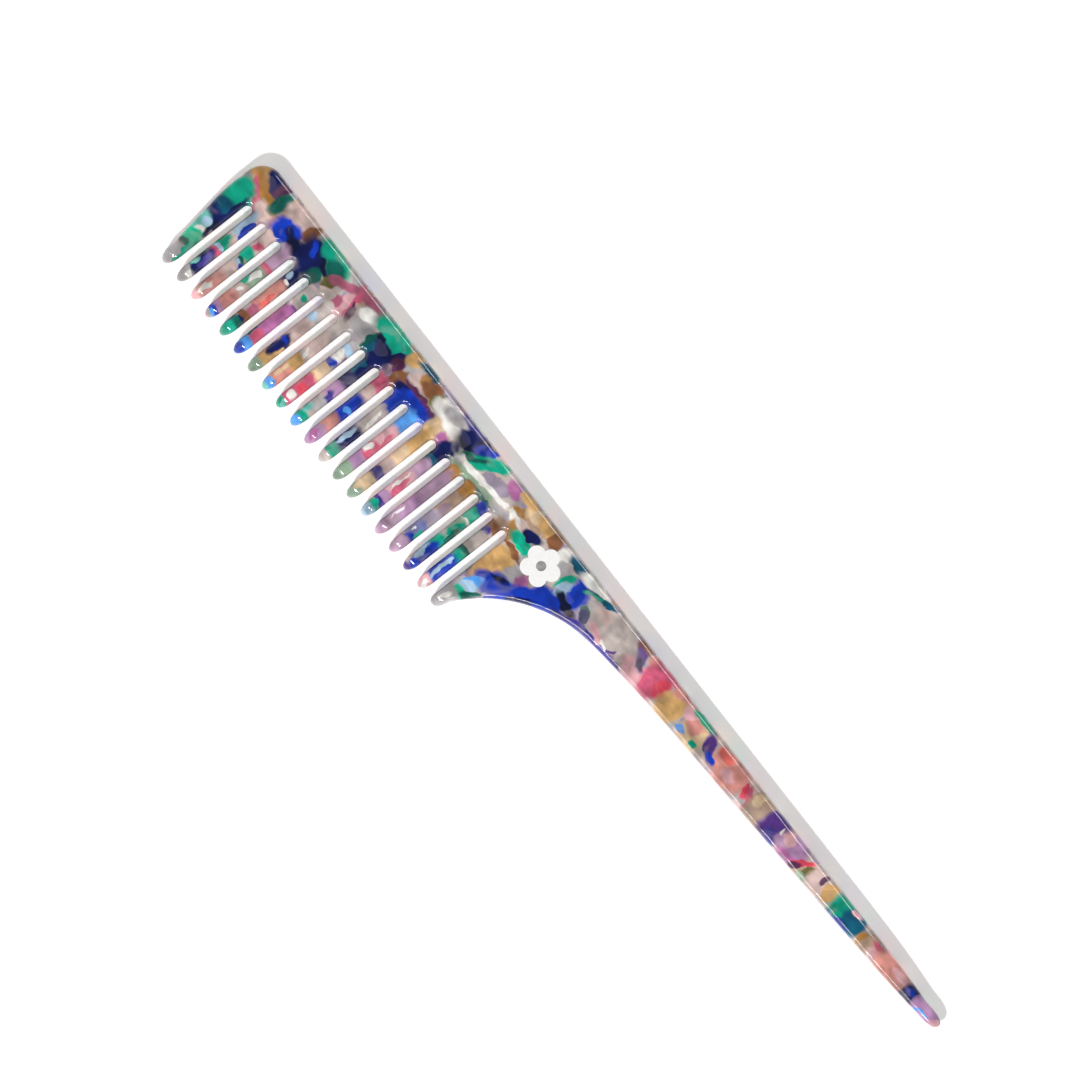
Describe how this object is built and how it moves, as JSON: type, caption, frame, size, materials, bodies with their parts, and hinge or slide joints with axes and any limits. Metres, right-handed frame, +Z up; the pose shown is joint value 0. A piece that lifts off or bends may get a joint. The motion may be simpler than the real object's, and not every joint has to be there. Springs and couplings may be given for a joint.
{
  "type": "tail comb",
  "caption": "Flat tail comb in polished multicoloured acetate: parallel rounded teeth under a straight back, a hollow neck and a long tapering handle for parting hair.",
  "frame": {"origin": "centre of the comb's bounding box, on the underside that it lies on", "axes": "+X along the length towards the tail tip, +Y towards the straight back edge (the teeth point to -Y), +Z up through the plate's thickness"},
  "size_m": [0.195, 0.026, 0.0041],
  "materials": {
    "acetate_spine": "polished",
    "acetate_teal": "polished",
    "acetate_cobalt": "polished",
    "acetate_navy": "polished",
    "acetate_violet": "polished",
    "acetate_lilac": "polished",
    "acetate_rose": "polished",
    "acetate_coral": "polished",
    "acetate_gold": "polished",
    "acetate_pearl": "polished",
    "white_ink": "satin printed ink"
  },
  "bodies": {
    "root": {"spine": "acetate_spine", "front_tooth": "acetate_teal", "tooth_01": "acetate_cobalt", "tooth_02": "acetate_teal", "tooth_03": "acetate_lilac", "tooth_04": "acetate_navy", "tooth_05": "acetate_lilac", "tooth_06": "acetate_gold", "tooth_07": "acetate_pearl", "tooth_08": "acetate_coral", "tooth_09": "acetate_navy", "tooth_10": "acetate_rose", "tooth_11": "acetate_cobalt", "tooth_12": "acetate_rose", "tooth_13": "acetate_gold", "tooth_14": "acetate_teal", "tooth_15": "acetate_pearl", "tooth_16": "acetate_violet", "tooth_17": "acetate_teal", "tooth_18": "acetate_cobalt", "shoulder": "acetate_cobalt", "tail": "acetate_coral", "printed_flower": "white_ink"}
  },
  "joints": []
}
